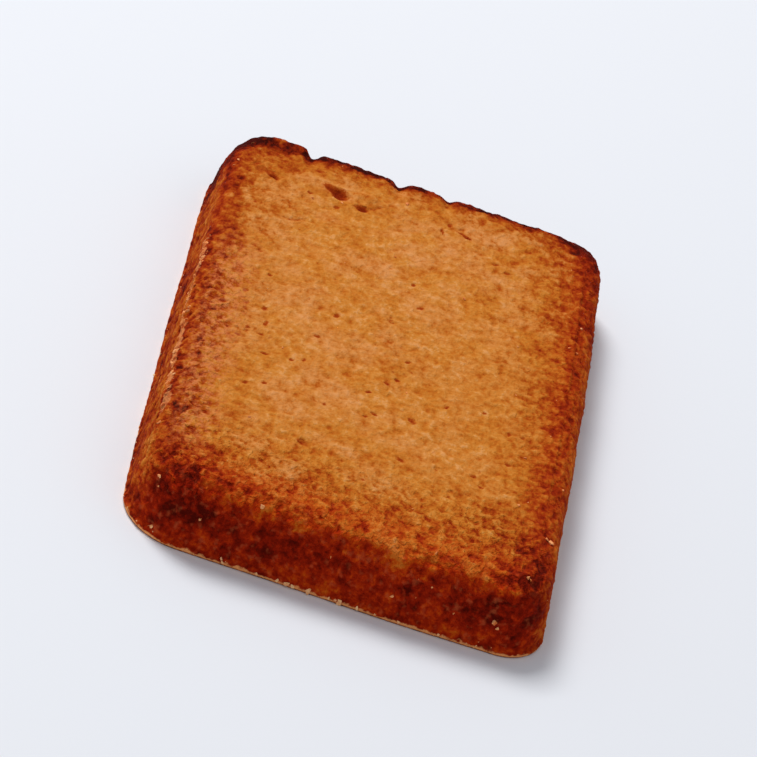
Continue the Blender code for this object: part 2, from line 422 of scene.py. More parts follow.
def blister_at(x, y):
    """Depth of the burst blisters at a place on the top, and how dark they make it with browning and painted
    shade.
    """
    depth, dark = 0.0, 0.0
    for across, along, reach, deepest, way, stretch in BLISTERS:
        blister = (across * MM, along * MM, reach * MM, deepest * MM, math.radians(way), stretch)
        from_x, from_y = x - blister[0], y - blister[1]
        long_reach = stretch * reach * MM
        if math.hypot(from_x, from_y) > BLISTER_SPAN * long_reach + BLISTER_WARP:
            continue
        shift_x = BLISTER_WARP * field_noise(x, y, across, BLISTER_WARP_SPACING)
        shift_y = BLISTER_WARP * field_noise(x, y, along, BLISTER_WARP_SPACING)
        share = hollow_share(x + shift_x, y + shift_y, blister)
        depth += deepest * MM * smooth_step(*BLISTER_WALL, share)
        if deepest < 0.0 or share < BLISTER_RIM_SHARES[0]:
            continue
        depth -= BLISTER_RIM * between(*BLISTER_RIM_SHARES, share) * min(reach, 1.0)
        # Painted light: paler toward the front right wall, which faces the lamp, darker as painted shade
        # toward the back left.
        paler = BLISTER_PAINTED_LIGHT * (from_x - from_y) / long_reach
        darkness = min(BLISTER_DARK + BLISTER_DARKENING * share - paler, BLISTER_DARKEST)
        dark = max(dark, darkness * smooth_step(0.0, BLISTER_DARK_DEPTH, deepest * MM))
    return depth, dark


def crag_height(x, y, z):
    """Lumps of the broken back edge, less its nicks, and the ledge at its left end."""
    share = smooth_step(*CRAG_ALONG, y) * smooth_step(*CRAG_UP, z)
    if share == 0.0:
        return 0.0
    lumps = CRAG * field_noise(x, y, z, CRAG_SPACING)
    lumps += FINE_CRAG * field_noise(x, y, z, FINE_CRAG_SPACING)
    nicks = 0.0
    for across in NICKS_ACROSS:
        nicks += NICK_DEPTH * (1.0 - smooth_step(0.0, NICK_REACH, abs(x - across)))
    ledge = between(*LEDGE_ACROSS, x) * LEDGE * smooth_step(*LEDGE_ALONG, y)
    return share * (lumps - nicks + ledge)


def scatter_pits():
    """Every pit of the top, each as (x, y, reach, depth, way, stretch)."""
    chance = random.Random(PIT_SEED)
    pits = []
    for x, y, reach in MARKED_PITS:
        way = chance.uniform(0.0, math.pi)
        stretch = chance.uniform(1.0, MARKED_PIT_STRETCH)
        pits.append((x * MM, y * MM, reach * MM, MARKED_PIT_DEPTH, way, stretch))
    while len(pits) < ALL_PITS:
        x = chance.uniform(-0.5, 0.5) * (WIDTH - 2 * FINE_PIT_MARGIN)
        y = chance.uniform(-0.5, 0.5) * (LENGTH - 2 * FINE_PIT_MARGIN)
        near_edge = max(smooth_step(*CROWDED_ACROSS, abs(x)), smooth_step(*CROWDED_ALONG, -y))
        if chance.random() > part_way((OPEN_PIT_SHARE, 1.0), near_edge):
            continue
        size = chance.random() ** 2
        reach, depth = part_way(FINE_PIT_REACH, size), part_way(FINE_PIT_DEPTH, size)
        way = chance.uniform(0.0, math.pi)
        stretch = chance.uniform(1.0, PIT_STRETCH)
        pits.append((x, y, reach, depth, way, stretch))
    return pits


def pit_finder(pits):
    """Gives a function for the depth of the pits at a place on the top, and their darkness: browned crust
    with painted shade.
    """
    tree = kdtree.KDTree(len(pits))
    for index, pit in enumerate(pits):
        tree.insert((pit[0], pit[1], 0.0), index)
    tree.balance()
    farthest = (1.0 - PIT_WALL[0]) * PIT_STRETCH * max(pit[2] for pit in pits)

    def pits_at(x, y):
        depth, dark = 0.0, 0.0
        for _, index, _ in tree.find_range((x, y, 0.0), farthest):
            pit = pits[index]
            share = hollow_share(x, y, pit)
            depth = max(depth, pit[3] * smooth_step(*PIT_WALL, share))
            strength = smooth_step(*PIT_DARK_DEPTH, pit[3])
            dark = max(dark, strength * min(max(PIT_DARK + PIT_DARKENING * share, 0.0), 1.0))
        return depth, dark

    return pits_at


# Browning, from 0 for the palest crust to 1 for the darkest. For each edge: how much it adds
# to the top at distances in from the foot, then how brown its side is at heights.
TOP_BROWNING = 0.16
FRONT_TOP = (
    (3.2, 0.26), (4.5, 0.22), (6.0, 0.17), (8.0, 0.16), (10.0, 0.12), (13.0, 0.08), (19.0, 0.0),
)
FRONT_SIDE = (
    (0.5, 0.60), (2.3, 0.62), (3.6, 0.73), (4.6, 0.73), (5.4, 0.60), (6.3, 0.40), (7.4, 0.28),
)
LEFT_TOP = ((3.2, 0.38), (4.0, 0.27), (5.0, 0.17), (6.5, 0.12), (8.0, 0.06), (10.0, 0.0))
LEFT_SIDE = (
    (0.5, 0.60), (2.5, 0.58), (4.0, 0.52), (5.3, 0.42), (6.3, 0.50), (6.9, 0.68), (7.4, 0.60),
)
RIGHT_TOP = ((3.2, 0.43), (4.5, 0.36), (6.0, 0.24), (8.0, 0.13), (11.0, 0.04), (14.0, 0.0))
RIGHT_SIDE = ((0.5, 0.44), (3.5, 0.48), (6.3, 0.46), (7.4, 0.42))
BACK_TOP = (
    (2.9, 0.92), (3.2, 0.74), (3.7, 0.44), (4.4, 0.29), (5.6, 0.18), (8.0, 0.08), (12.0, 0.05),
    (18.0, 0.0),
)
BACK_SIDE = ((0.5, 0.70), (3.5, 0.78), (6.0, 0.96), (7.4, 0.97))

# The brown's own edges wander, by less on the left, at the corners and down the sides.
RAGGED = 0.62 * MM
RAGGED_SPACING = 5.0 * MM
FRAYED = 0.55 * MM
FRAYED_SPACING = 1.4 * MM
LEFT_RAGGED = 0.6
CORNER_RAGGED = 0.5
SIDE_RAGGED = 0.8
# Mottling all over, and more of it on the sides, the front most.
MOTTLE = 0.06
MOTTLE_SPACING = 4.5 * MM
FINE_MOTTLE = 0.085
FINE_MOTTLE_SPACING = 1.9 * MM
SIDE_MOTTLE = 0.12
FRONT_MOTTLE = 0.21
SIDE_MOTTLE_SPACING = 4.2 * MM
FINE_SIDE_MOTTLE = 0.8

# Patches that browned more (or less, below 0) than what lies around: across, along, height
# and reach in millimetres, and how much. Each is even over the inner part of its reach.
PATCHES = (
    (-17.4, -35.0, 6.2, 5.4, 0.36),
    (-12.0, -32.2, 7.5, 4.2, 0.13),
    (-17.5, -35.2, 3.0, 4.0, 0.06),
    (-7.0, -35.4, 3.8, 4.2, 0.13),
    (-2.0, -35.4, 3.0, 3.2, 0.07),
    (5.0, -35.6, 2.3, 3.6, -0.06),
    (14.5, -35.2, 4.5, 4.0, 0.10),
    (18.6, -34.8, 5.0, 5.6, 0.30),
    (18.5, -35.6, 2.1, 2.2, 0.22),
    (17.8, -31.0, 7.4, 3.4, 0.10),
    (21.4, -30.0, 7.0, 3.0, 0.12),
    (6.0, -34.4, 6.8, 4.0, -0.18),
    (13.5, -32.6, 7.4, 3.8, -0.15),
    (21.6, 19.0, 7.0, 4.5, 0.10),
    (21.6, 26.0, 7.0, 4.5, 0.12),
    (20.5, 31.5, 7.2, 4.0, 0.16),
    (-22.0, 34.5, 1.5, 4.5, 0.24),
    (-20.6, 33.8, 5.6, 4.2, 0.44),
    (-22.4, 29.6, 4.2, 5.0, 0.42),
    (-21.5, -27.5, 6.6, 5.5, -0.13),
    (-16.4, 33.4, 7.2, 1.3, -0.14),
    (-15.0, 32.3, 7.8, 2.6, -0.09),
    (-6.5, 33.8, 7.2, 2.0, 0.10),
    (5.0, 33.8, 7.2, 2.2, -0.08),
    (-15.6, 33.6, 7.4, 3.6, -0.22),
    (-10.0, 33.6, 7.4, 2.2, 0.06),
    (-21.5, 23.0, 7.6, 4.0, 0.10),
    (-22.2, 18.0, 6.0, 6.5, -0.08),
    (-22.4, 15.0, 1.8, 7.0, 0.06),
)
PATCH_MIDDLE = 0.2

# How far the brown of the back edge reaches in, beyond its table, at places across it. Then
# the thin brown rim of the two back corners, at distances in from their own curve.
BACK_REACH = (
    (-20.0, 0.9), (-18.0, 1.5), (-13.5, 1.6), (-12.0, 0.8), (-9.0, 0.3), (-5.0, -0.1),
    (0.0, 0.15), (5.0, -0.1), (8.0, -0.4), (15.0, -0.5), (19.0, 0.8),
)
CORNER_RIM = ((1.9, 0.92), (2.3, 0.66), (3.0, 0.46), (3.8, 0.24), (5.0, 0.0))


def top_browning(x, y, shift):
    """How brown the top is at a place."""
    pale = 1.0 - TOP_BROWNING
    pale *= 1.0 - along_table(FRONT_TOP, LENGTH / 2 + y + shift)
    pale *= 1.0 - along_table(LEFT_TOP, WIDTH / 2 + x + LEFT_RAGGED * shift)
    pale *= 1.0 - along_table(RIGHT_TOP, WIDTH / 2 - x + shift)
    pale *= 1.0 - along_table(BACK_TOP, LENGTH / 2 - y + shift - MM * along_table(BACK_REACH, x))
    radius = foot_radius(x, y)
    past_x, past_y = abs(x) - (WIDTH / 2 - radius), abs(y) - (LENGTH / 2 - radius)
    if y > 0.0 and past_x > 0.0 and past_y > 0.0:
        from_curve = radius - math.hypot(past_x, past_y)
        pale *= 1.0 - along_table(CORNER_RIM, from_curve + CORNER_RAGGED * shift)
    return 1.0 - pale


def side_browning(normal, height):
    """How brown the side is where it faces the way of `normal`."""
    flat = max(math.hypot(normal.x, normal.y), 0.001)
    sides = (
        (-normal.y, FRONT_SIDE), (-normal.x, LEFT_SIDE), (normal.x, RIGHT_SIDE), (normal.y, BACK_SIDE),
    )
    return sum(max(facing / flat, 0.0) ** 2 * along_table(table, height) for facing, table in sides)


def patch_browning(x, y, z):
    """What the patches add at a place."""
    added = 0.0
    for across, along, height, reach, amount in PATCHES:
        away = math.dist((x, y, z), (across * MM, along * MM, height * MM)) / (reach * MM)
        added += amount * (1.0 - smooth_step(PATCH_MIDDLE, 1.0, away))
    return added


# Where the left shoulder was rubbed pale: up to how far in, in a band that wanders about a
# height, and between places along the slab. Beyond them it is rubbed less.
RUBBED_INSET = 2.4 * MM
RUBBED_HEIGHT = 6.3 * MM
RUBBED_REACH = 0.8 * MM
RUBBED_MIDDLE = 0.3
RUBBED_WANDER = 1.1 * MM
RUBBED_WANDER_SPACING = 4.5 * MM
RUBBED_ALONG = (-27.0 * MM, -21.0 * MM, 8.0 * MM, 14.0 * MM)
RUBBED_BEYOND = 0.35
# Where the pale dust of crumbs lies inside the left shoulder: in from the left, and along.
DUSTED_INSET = (1.7 * MM, 2.9 * MM, 4.5 * MM, 8.5 * MM)
DUSTED_ALONG = (-31.0 * MM, -24.0 * MM, 4.0 * MM, 16.0 * MM)
# The pale bloom of the top, less over its front right half, and more toward the back, where it is partly a
# painted sheen.
LESS_BLOOM = 0.65
LESS_BLOOM_ACROSS = (-2.0 * MM, 8.0 * MM)
LESS_BLOOM_ALONG = (2.0 * MM, 14.0 * MM)
# Toward the back the bloom grows as a painted sheen.
BACK_SHEEN = 0.40
BACK_SHEEN_ALONG = (8.0 * MM, 20.0 * MM)


def rubbed_share(x, y, z):
    """How rubbed the crust is at a place."""
    if x > RUBBED_INSET - WIDTH / 2:
        return 0.0
    wander = RUBBED_WANDER * field_noise(0.0, y, SECOND_LAYER, RUBBED_WANDER_SPACING)
    away = abs(z - RUBBED_HEIGHT - wander) / RUBBED_REACH
    level = 1.0 - smooth_step(RUBBED_MIDDLE, 1.0, away)
    return level * part_way((RUBBED_BEYOND, 1.0), between(*RUBBED_ALONG, y))


def dusted_share(x, y):
    """How thick the pale dust lies at a place of the top."""
    return between(*DUSTED_INSET, WIDTH / 2 + x) * between(*DUSTED_ALONG, y)


def bloomed_and_sheen_share(x, y):
    """How much of the pale bloom, with the painted sheen toward the back, a place of the top has."""
    front_right = smooth_step(*LESS_BLOOM_ACROSS, x) * (1.0 - smooth_step(*LESS_BLOOM_ALONG, y))
    return 1.0 - LESS_BLOOM * front_right + BACK_SHEEN * smooth_step(*BACK_SHEEN_ALONG, y)


# How strongly the tone of the crust varies: on the open top, how much more it is where the top
# is coarse, then on the sides and on the front.
TOP_CONTRAST = 0.98
COARSE_CONTRAST = 0.38
SIDE_CONTRAST = 1.15
FRONT_CONTRAST = 1.55

# How red the crust turns, partly as it browns and partly as painted shade, the red cast of the
# # front side that is turned from the lamp. Beside the front, which turns reddest: on the back, on
# # the right, and elsewhere on the sides. Then how far the front and right of the top turn red
# # too, and how far in from the edge.
RUDDY_BACK_SIDE = 0.55
RUDDY_RIGHT_SIDE = 0.50
RUDDY_LEAST = 0.17
RUDDY_FRONT = (0.50, 3.0 * MM, 10.0 * MM)
RUDDY_RIGHT = (0.30, 3.0 * MM, 7.0 * MM)

# Which way the crust faces, as the length of its normal that way: where it counts as the
# underside, where blisters and pits lie, and where it goes over into top, front, back or right.
UNDERSIDE_FACING = -0.5
PITTED_FACING = 0.85
TOP_FACING = (0.60, 0.95)
UNRUDDY_FACING = (0.80, 1.0)
FRONT_FACING = (0.2, 0.8)
SIDE_FACING = (0.3, 0.8)

# How deep in a crease counts as fully creased, for the painted shade in creases and the painted
# # highlight on crests, and how much deeper that is where the crust is coarse. Then the heights
# # over which the thin foot's own look fades out.
FULL_CREASE = 0.11 * MM
FULL_CREASE_COARSE = 0.7
FOOT_FADE = (0.70 * FOOT_TOP, 1.15 * FOOT_TOP)

# The underside is flat, with shallow pockets where air was caught on the tray, and browner
# # toward its edge. Its pockets are painted darker through their crease mark, as painted shade.
POCKET_DEPTH = 0.8 * MM
POCKET_SPACING = 1.3 * MM
POCKET_LEVEL = 0.45
POCKET_INSET = (0.5 * MM, 2.5 * MM)
POCKET_CREASED = 2.0
UNDERSIDE_BROWNING = 0.36
UNDERSIDE_EDGE = 0.28
UNDERSIDE_MOTTLE = 0.12
UNDERSIDE_COARSE = 0.3
UNDERSIDE_CONTRAST = 1.2

# What is marked at each point of the crust, for its material to read.
CRUST_MARKS = (
    "browning", "creased", "pitted", "coarse", "contrast", "rubbed", "dusted", "bloomed_and_sheen", "ruddy",
    "foot",
)


def underside_at(x, y):
    """How deep the pockets are at a place of the underside, and how its crust looks there."""
    pocket = max(-field_noise(x, y, SECOND_LAYER, POCKET_SPACING) - POCKET_LEVEL, 0.0)
    from_edge = min(WIDTH / 2 - abs(x), LENGTH / 2 - abs(y))
    inside_foot = smooth_step(*POCKET_INSET, from_edge)
    browning = UNDERSIDE_BROWNING + UNDERSIDE_EDGE * (1.0 - inside_foot)
    browning += UNDERSIDE_MOTTLE * field_noise(x, y, SECOND_LAYER, MOTTLE_SPACING)
    marks = {
        "browning": browning,
        "creased": POCKET_CREASED * pocket,
        "coarse": UNDERSIDE_COARSE,
        "contrast": UNDERSIDE_CONTRAST,
        "bloomed_and_sheen": 1.0,
    }
    return POCKET_DEPTH * pocket * inside_foot, marks


def crust_browning(x, y, z, normal, upward, facing_front):
    """How brown the crust is at a place of the top or the sides."""
    shift = RAGGED * field_noise(x, y, z, RAGGED_SPACING)
    shift += FRAYED * field_noise(x, y, z, FRAYED_SPACING)
    side_mottle = field_noise(x, y, z, SIDE_MOTTLE_SPACING)
    side_mottle += FINE_SIDE_MOTTLE * field_noise(x, y, z, FINE_MOTTLE_SPACING)
    side_mottle *= part_way((SIDE_MOTTLE, FRONT_MOTTLE), facing_front)
    side = side_browning(normal, z + SIDE_RAGGED * shift) + side_mottle
    mottle = MOTTLE * field_noise(x, y, z + SECOND_LAYER, MOTTLE_SPACING)
    mottle += FINE_MOTTLE * field_noise(x, y, z + SECOND_LAYER, FINE_MOTTLE_SPACING)
    browning = part_way((side, top_browning(x, y, shift)), upward)
    return browning + mottle + patch_browning(x, y, z)


def ruddiness(x, y, normal, facing_front):
    """How red the crust turns at a place, as it browns and, on the front side, as painted shade."""
    back = RUDDY_BACK_SIDE * smooth_step(*SIDE_FACING, normal.y)
    right = RUDDY_RIGHT_SIDE * smooth_step(*SIDE_FACING, normal.x)
    ruddy = max(facing_front, back, right, RUDDY_LEAST)
    ruddy *= 1.0 - smooth_step(*UNRUDDY_FACING, normal.z)
    for (share, start, end), inset in ((RUDDY_FRONT, LENGTH / 2 + y), (RUDDY_RIGHT, WIDTH / 2 - x)):
        ruddy = max(ruddy, share * (1.0 - smooth_step(start, end, inset)))
    return ruddy


def crust_at(place, normal, pits_at):
    """How high the relief stands at a place of the top or the sides, and how it looks there."""
    x, y, z = place
    upward = smooth_step(*TOP_FACING, normal.z)
    facing_front = smooth_step(*FRONT_FACING, -normal.y)
    coarse = crust_coarseness(x, y, z)
    fine = crumbly(place, coarse)
    rise = CRUST_BUMP * field_noise(x, y, z, CRUST_SPACING)
    rise += CRUST_BUMP / 2 * field_noise(x, y, z, CRUST_SPACING / 2)
    rise += fine + crag_height(x, y, z)
    pitted = 0.0
    if normal.z > PITTED_FACING:
        blister, blister_dark = blister_at(x, y)
        pit, pit_dark = pits_at(x, y)
        rise -= blister + pit
        pitted = max(pit_dark, blister_dark)
    side_contrast = part_way((SIDE_CONTRAST, FRONT_CONTRAST), facing_front)
    top_contrast = TOP_CONTRAST + COARSE_CONTRAST * min(coarse, 1.0)
    marks = {
        "browning": crust_browning(x, y, z, normal, upward, facing_front),
        "creased": -fine / (FULL_CREASE * (1.0 + FULL_CREASE_COARSE * coarse)),
        "pitted": pitted,
        "coarse": coarse,
        "contrast": part_way((side_contrast, top_contrast), upward),
        "rubbed": rubbed_share(x, y, z),
        "dusted": dusted_share(x, y) * upward,
        "bloomed_and_sheen": bloomed_and_sheen_share(x, y),
        "ruddy": ruddiness(x, y, normal, facing_front),
        "foot": 1.0 - smooth_step(*FOOT_FADE, z),
    }
    return rise, marks


def bake_crust(mesh):
    """Raises the relief over the plain slab, and marks how the crust looks at each point."""
    pits_at = pit_finder(scatter_pits())
    normals = [vert.normal.copy() for vert in mesh.vertices]
    marks = {name: [] for name in CRUST_MARKS}
    for vert, normal in zip(mesh.vertices, normals):
        x, y, z = vert.co
        if normal.z < UNDERSIDE_FACING:
            hollow, found = underside_at(x, y)
            vert.co.z += hollow
        else:
            rise, found = crust_at(vert.co, normal, pits_at)
            vert.co = vert.co + normal * rise * smooth_step(0.0, FOOT_TOP, z)
        for name in CRUST_MARKS:
            marks[name].append(found.get(name, 0.0))
    for name, values in marks.items():
        mesh.attributes.new(name, "FLOAT", "POINT").data.foreach_set("value", values)


def centre_mesh(mesh):
    """Puts the middle of the mesh over the middle of the solid."""
    across = [vert.co.x for vert in mesh.vertices]
    along = [vert.co.y for vert in mesh.vertices]
    low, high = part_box("biscuit")
    middle_x = (low.x + high.x - min(across) - max(across)) / 2
    middle_y = (low.y + high.y - min(along) - max(along)) / 2
    mesh.transform(Matrix.Translation((middle_x, middle_y, 0.0)))


def paint(red, green, blue):
    """A colour as a screen shows it, 0 to 255, turned into the shader's own units."""
    shares = [value / 255.0 for value in (red, green, blue)]
    colour = [s / 12.92 if s <= 0.04045 else ((s + 0.055) / 1.055) ** 2.4 for s in shares]
    return (*colour, 1.0)


def shades(first, *colours):
    """Colours a tenth apart, as (position, colour) pairs from the first position on."""
    return [(first + step / 10, paint(*colour)) for step, colour in enumerate(colours)]


# Colours of the crust as it browns, palest first. Then those of the sides, which brown to a
# # deeper red, mixed with painted shade: the red cast of the front side turned from the lamp.
CRUST_COLOURS = shades(
    0.0, (214, 146, 82), (205, 131, 56), (199, 121, 45), (192, 110, 35), (183, 97, 27),
    (172, 80, 19), (159, 62, 13), (143, 43, 8), (120, 30, 6), (92, 19, 5), (58, 11, 5),
)
RUDDY_AND_SHADE_COLOURS = shades(
    0.1, (208, 106, 32), (202, 90, 20), (196, 75, 14), (189, 62, 11), (181, 51, 9),
    (171, 42, 8), (158, 34, 7), (138, 25, 5), (112, 18, 4), (84, 13, 4),
)
# Inside the pits, from their edges to their depths: browned crust, darkened as painted shade.
PIT_BROWN_AND_SHADE_COLOURS = (
    (0.35, paint(188, 100, 34)),
    (0.60, paint(168, 73, 18)),
    (0.80, paint(150, 51, 10)),
    (1.00, paint(122, 33, 7)),
)
# Pale dough of the foot line, bright enough to stand in for a painted highlight on its lip.
PALE_DOUGH_AND_HIGHLIGHT = paint(255, 172, 104)
RUBBED_DOUGH = paint(236, 152, 90)
BLOOM_AND_SHEEN = paint(216, 144, 88)
DUST = paint(214, 126, 76)
FLECK = paint(204, 96, 54)

# Moves the noise of every material, so that its layers don't meet at the middle of the slab.
NOISE_SHIFT = (37.3 * MM, 61.7 * MM, 23.9 * MM)


class Shading:
    """A short way to make a material. A value is a plain one, or an output of another node."""

    def __init__(self, name):
        self.material = bpy.data.materials.new(name)
        self.material.use_nodes = True
        self.tree = self.material.node_tree
        self.shader = self.tree.nodes["Principled BSDF"]
        self.true_place = self.node("ShaderNodeTexCoord", {}).outputs["Object"]
        self.place = self.vector("ADD", self.true_place, NOISE_SHIFT)

    def feed(self, socket, value):
        if isinstance(value, bpy.types.NodeSocket):
            self.tree.links.new(value, socket)
        else:
            socket.default_value = value

    def node(self, kind, inputs, **settings):
        """Adds a node with its settings, and feeds its inputs, each by its name or number."""
        node = self.tree.nodes.new(kind)
        for name, setting in settings.items():
            setattr(node, name, setting)
        for name, value in inputs.items():
            self.feed(node.inputs[name], value)
        return node

    def attribute(self, name):
        return self.node("ShaderNodeAttribute", {}, attribute_name=name).outputs["Fac"]

    def height(self):
        return self.node("ShaderNodeSeparateXYZ", {0: self.true_place}).outputs["Z"]

    def vector(self, operation, first, second):
        return self.node("ShaderNodeVectorMath", {0: first, 1: second}, operation=operation).outputs[0]

    def warped(self, reach, spacing):
        """The place, pushed about by noise."""
        push = self.node("ShaderNodeTexNoise", {"Vector": self.place, "Scale": 1.0 / spacing})
        either_way = self.vector("SUBTRACT", push.outputs["Color"], (0.5, 0.5, 0.5))
        return self.vector("ADD", self.vector("MULTIPLY", either_way, (reach, reach, reach)), self.place)

    def drawn_out(self, place, along_y):
        """The place, with what is laid on it drawn out along the slab."""
        return self.vector("MULTIPLY", place, (1.0, 1.0 / along_y, 1.0))

    def noise(self, spacing, detail=3.0, roughness=0.55, place=None):
        inputs = {"Vector": place or self.place, "Scale": 1.0 / spacing}
        inputs.update({"Detail": detail, "Roughness": roughness})
        return self.node("ShaderNodeTexNoise", inputs).outputs["Fac"]

    def cells(self, spacing, place, feature="F1"):
        inputs = {"Vector": place, "Scale": 1.0 / spacing}
        return self.node("ShaderNodeTexVoronoi", inputs, feature=feature).outputs

    def math(self, operation, first, second):
        return self.node("ShaderNodeMath", {0: first, 1: second}, operation=operation).outputs[0]

    def plus(self, first, second):
        return self.math("ADD", first, second)

    def times(self, first, second):
        return self.math("MULTIPLY", first, second)

    def spread(self, value, from_low, from_high, to_low, to_high):
        """Carries a value from one range over to another, and holds it inside that."""
        inputs = {"Value": value, "From Min": from_low, "From Max": from_high}
        inputs.update({"To Min": to_low, "To Max": to_high})
        return self.node("ShaderNodeMapRange", inputs).outputs["Result"]

    def stirred(self, value, noise, low, reach):
        """The value, moved by up to reach either way as the noise goes from low to 1 - low."""
        return self.plus(value, self.spread(noise, low, 1.0 - low, -reach, reach))

    def ramp(self, value, stops):
        """Reads a colour off (position, colour) pairs."""
        node = self.node("ShaderNodeValToRGB", {"Fac": value})
        elements = node.color_ramp.elements
        while len(elements) < len(stops):
            elements.new(0.5)
        for element, (position, colour) in zip(elements, stops):
            element.position = position
            element.color = colour
        return node.outputs["Color"]

    def mix(self, share, first, second):
        return self.node("ShaderNodeMix", {0: share, 6: first, 7: second}, data_type="RGBA").outputs[2]

    def bump(self, height, distance, **over):
        """Relief on the smooth surface, or over another bump, which is given as Normal."""
        inputs = {"Height": height, "Distance": distance, **over}
        return self.node("ShaderNodeBump", inputs).outputs["Normal"]


# The fine layers of the crust, drawn out along the slab: how far apart each one's spots are,
# and how far it moves the browning, or the share of its colour at most.
DRAWN_OUT = 1.35
GRAIN_WARP = (0.5 * MM, 0.9 * MM)
# The grain's crests are painted paler and its hollows darker, following its bump: painted highlight and
# painted shade.
GRAIN_SHADE = 0.12
SHADED_GRAIN_SPACING = 0.62 * MM
SPECKLE = 0.11
SPECKLE_SPACING = 1.3 * MM
FINE_SPECKLE = 0.06
FINE_SPECKLE_SPACING = 0.30 * MM
# Fine cracks are painted darker where the bump sinks them: painted shade.
CRACK_SHADE = 0.07
CRACK_SPACING = 0.90 * MM
CRACK_WIDTH = 0.16
# The relief's crests are painted paler and its creases darker: painted highlight and painted shade.
CREST_HIGHLIGHT = -0.13
CREASE_SHADE = 0.19
# Pores are painted darker inside, as painted shade of the small holes.
PORE_SHADE = 0.22
PORE_SPACING = 0.85 * MM
PORE_WARP = (0.25 * MM, 0.35 * MM)
PORE_WIDTH = 0.24
RAGGED_PIT = 0.20
RAGGED_PIT_SPACING = 0.40 * MM
BLOOM_SHARE = 0.55
BLOOM_SPACING = 4.2 * MM
FLECK_SHARE = 0.36
FLECK_SPACING = 0.75 * MM
DUST_SHARE = 0.72
DUST_SPACING = 0.6 * MM
WORN_SHARE = 0.58
WORN_SPACING = 0.9 * MM
WORN_FRAYED = 0.5
# The pale line along the foot, pale dough with a painted highlight on its lip: full up to the first height,
# gone by the second.
FOOT_LINE = (0.28 * MM, 0.48 * MM)
FOOT_LINE_SHARE = 0.94
FOOT_LINE_SPACING = 0.8 * MM
FOOT_LINE_FRAYED = 0.22 * MM
# The finest relief: the grain with sand on it, cracks, and the floors of pores and pits.
SAND = 0.75
SAND_SPACING = 0.34 * MM
GRIT_HEIGHT = 0.24 * MM
CRACK_HEIGHT = -0.035 * MM
HOLE_HEIGHT = -0.02 * MM


